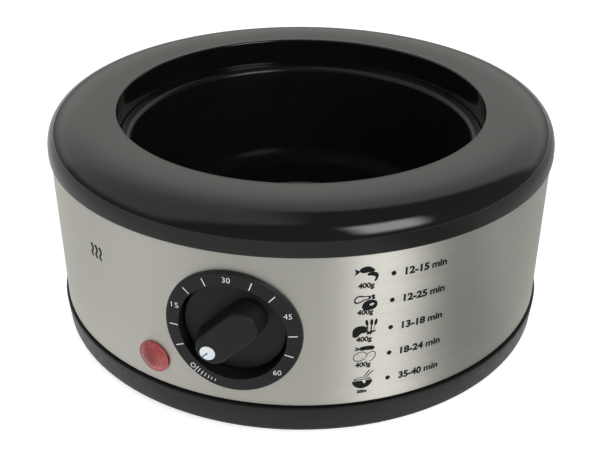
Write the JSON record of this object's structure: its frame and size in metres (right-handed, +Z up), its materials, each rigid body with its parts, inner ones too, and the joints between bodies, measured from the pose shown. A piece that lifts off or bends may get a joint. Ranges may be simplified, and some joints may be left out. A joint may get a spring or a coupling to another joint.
{
  "type": "food steamer base",
  "caption": "Round electric food steamer base: glossy black rim and water tank, brushed steel band, recessed timer dial, red indicator lamp and black base pan.",
  "frame": {"origin": "centre of the round base on the surface that the feet stand on", "axes": "+Z up along the axis of the round housing; -Y towards the user, with the timer dial 13.3 degrees to the user's left; +Y towards the cord gland at the back"},
  "size_m": [0.2424, 0.2496, 0.107],
  "materials": {
    "gloss_black": "high gloss injection moulded black",
    "brushed_steel": "fine horizontal brushing",
    "matte_black": "satin dark grey moulding",
    "dial_black": "fine satin texture",
    "white_inlay": "smooth white",
    "red_lens": "clear red polycarbonate",
    "lamp_glass": "clear",
    "plated_steel": "zinc plated",
    "spring_steel": "blued spring strip",
    "gear_brass": "stamped",
    "foot_rubber": "matt moulded rubber",
    "seal_rubber": "silicone",
    "cast_aluminium": "die cast, satin",
    "element_steel": "heat tinted stainless tube",
    "thermostat_body": "phenolic",
    "terminal_plastic": "natural nylon",
    "wire_brown": "extruded sleeve",
    "wire_blue": "extruded sleeve",
    "wire_black": "extruded sleeve"
  },
  "bodies": {
    "housing": {"rim_ring": "gloss_black", "water_tank": "gloss_black", "body_pillars": "plated_steel", "steel_band": "brushed_steel", "seam_strap": "plated_steel", "base_pan": "matte_black", "feet": "foot_rubber", "base_screws": "plated_steel", "rim_screws": "plated_steel", "dial_bezel": "dial_black", "timer_case": "plated_steel", "timer_front_plate": "plated_steel", "timer_screws": "plated_steel", "mainspring": "spring_steel", "timer_bell": "plated_steel", "timer_blades": "gear_brass", "lamp_lens": "red_lens", "lamp_bulb": "lamp_glass", "lamp_clip": "spring_steel", "heater_gasket": "seal_rubber", "heater_plate": "cast_aluminium", "heater_nuts": "plated_steel", "heater_element": "element_steel", "thermostat": "thermostat_body", "thermal_fuse": "plated_steel", "terminal_block": "terminal_plastic", "block_screws": "plated_steel", "cord_gland": "foot_rubber", "wire_live": "wire_brown", "wire_switched": "wire_black", "wire_neutral": "wire_blue", "wire_lamp": "wire_black"},
    "dial": {"timer_knob": "dial_black", "knob_pointer": "white_inlay", "timer_shaft": "plated_steel", "main_gear": "gear_brass"},
    "governor": {"governor_wheel": "gear_brass"}
  },
  "joints": [
    {"name": "timer_turn", "type": "hinge", "parent": "housing", "child": "dial", "pos_m": [-0.02646, -0.11192, 0.0535], "axis": [0.23, 0.9732, 0], "range_deg": [0, 270]},
    {"name": "governor_turn", "type": "hinge", "parent": "housing", "child": "governor", "pos_m": [-0.02646, -0.11192, 0.0375], "axis": [0.23, 0.9732, 0], "range_deg": [-810, 0]}
  ],
  "couplings": [
    {"joint": "governor_turn", "follows": "timer_turn", "ratio": -3}
  ]
}
